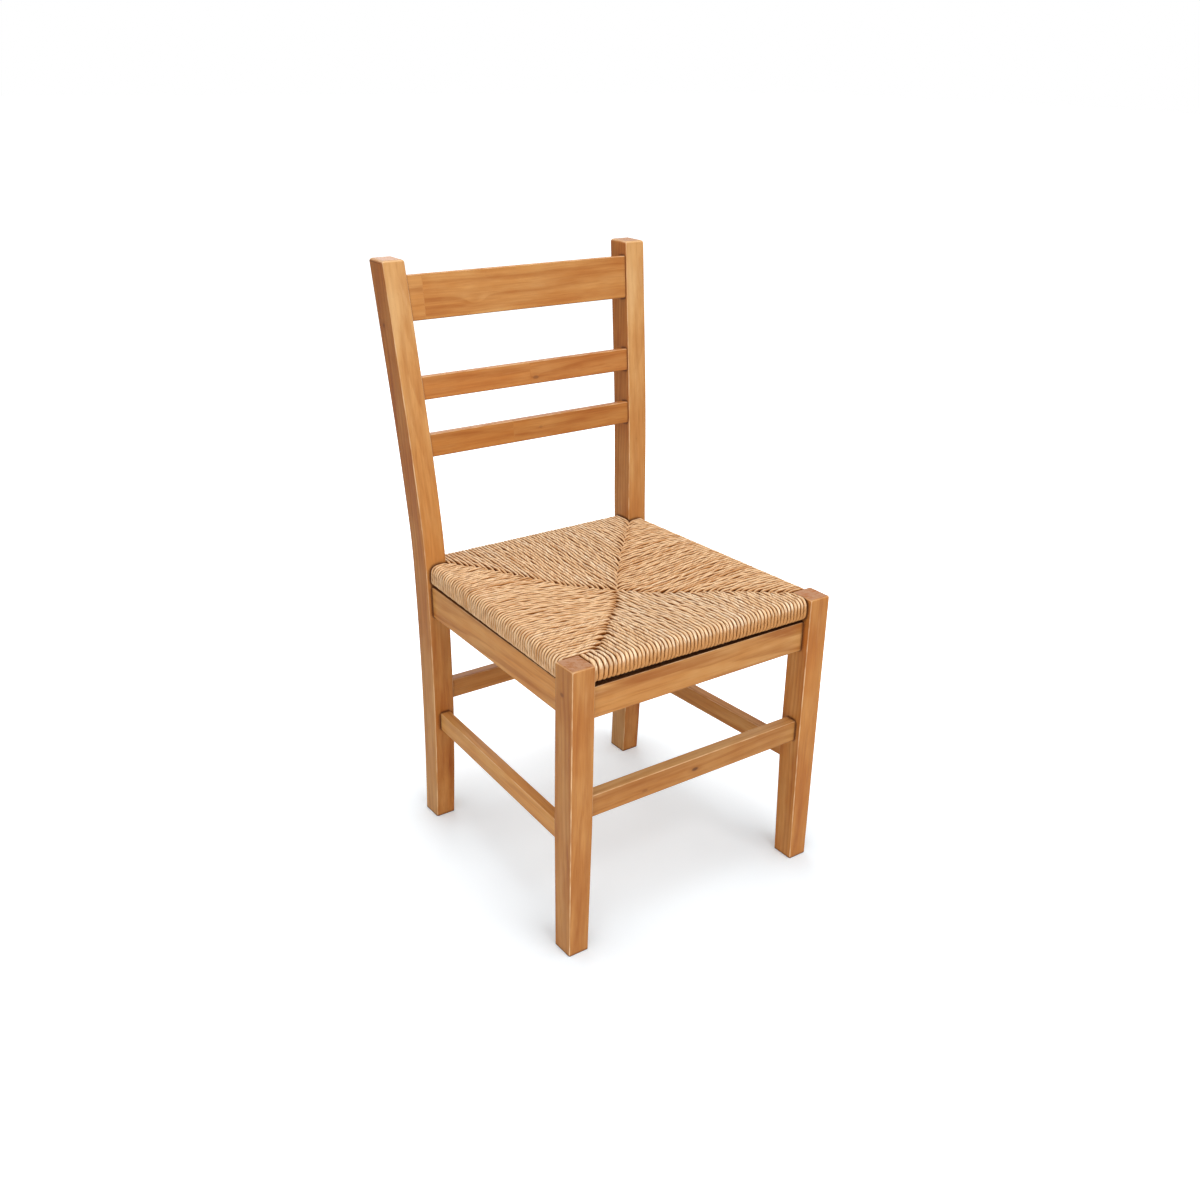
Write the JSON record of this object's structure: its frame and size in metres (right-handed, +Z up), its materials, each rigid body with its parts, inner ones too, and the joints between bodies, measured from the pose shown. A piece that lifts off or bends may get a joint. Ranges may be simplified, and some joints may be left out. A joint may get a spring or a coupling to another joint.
{
  "type": "dining chair",
  "caption": "Wooden dining chair with a raked slatted back, square legs joined by stretchers and a drop-in seat wound with rush cord, which lifts out.",
  "frame": {"origin": "on the floor, under the middle of the chair's box", "axes": "+Z up, -Y towards the front of the chair, +X towards the sitter's left"},
  "size_m": [0.4656, 0.5211, 0.9],
  "materials": {
    "honey_wood": "satin stained",
    "plain_wood": "planed, unfinished",
    "rush_cord": "twisted dry rush",
    "stuffing": "loose rush waste",
    "screw_steel": "plain steel"
  },
  "bodies": {
    "frame": {"back_post_left": "honey_wood", "back_post_right": "honey_wood", "front_leg_left": "honey_wood", "front_leg_right": "honey_wood", "top_rail": "honey_wood", "upper_back_slat": "honey_wood", "lower_back_slat": "honey_wood", "front_apron": "honey_wood", "rear_apron": "honey_wood", "left_apron": "honey_wood", "right_apron": "honey_wood", "front_stretcher": "honey_wood", "rear_stretcher": "honey_wood", "left_stretcher": "honey_wood", "right_stretcher": "honey_wood", "corner_block_front_left": "plain_wood", "corner_block_front_right": "plain_wood", "corner_block_rear_left": "plain_wood", "corner_block_rear_right": "plain_wood", "corner_block_screws": "screw_steel"},
    "seat": {"seat_rail_front": "plain_wood", "seat_rail_rear": "plain_wood", "seat_rail_left": "plain_wood", "seat_rail_right": "plain_wood", "seat_frame_dowels": "plain_wood", "stuffing_front": "stuffing", "stuffing_rear": "stuffing", "stuffing_left": "stuffing", "stuffing_right": "stuffing", "rush_front": "rush_cord", "rush_rear": "rush_cord", "rush_left": "rush_cord", "rush_right": "rush_cord"}
  },
  "joints": [
    {"name": "seat_lift", "type": "slide", "parent": "frame", "child": "seat", "axis": [0, 0, 1], "range_m": [0, 0.08]}
  ]
}
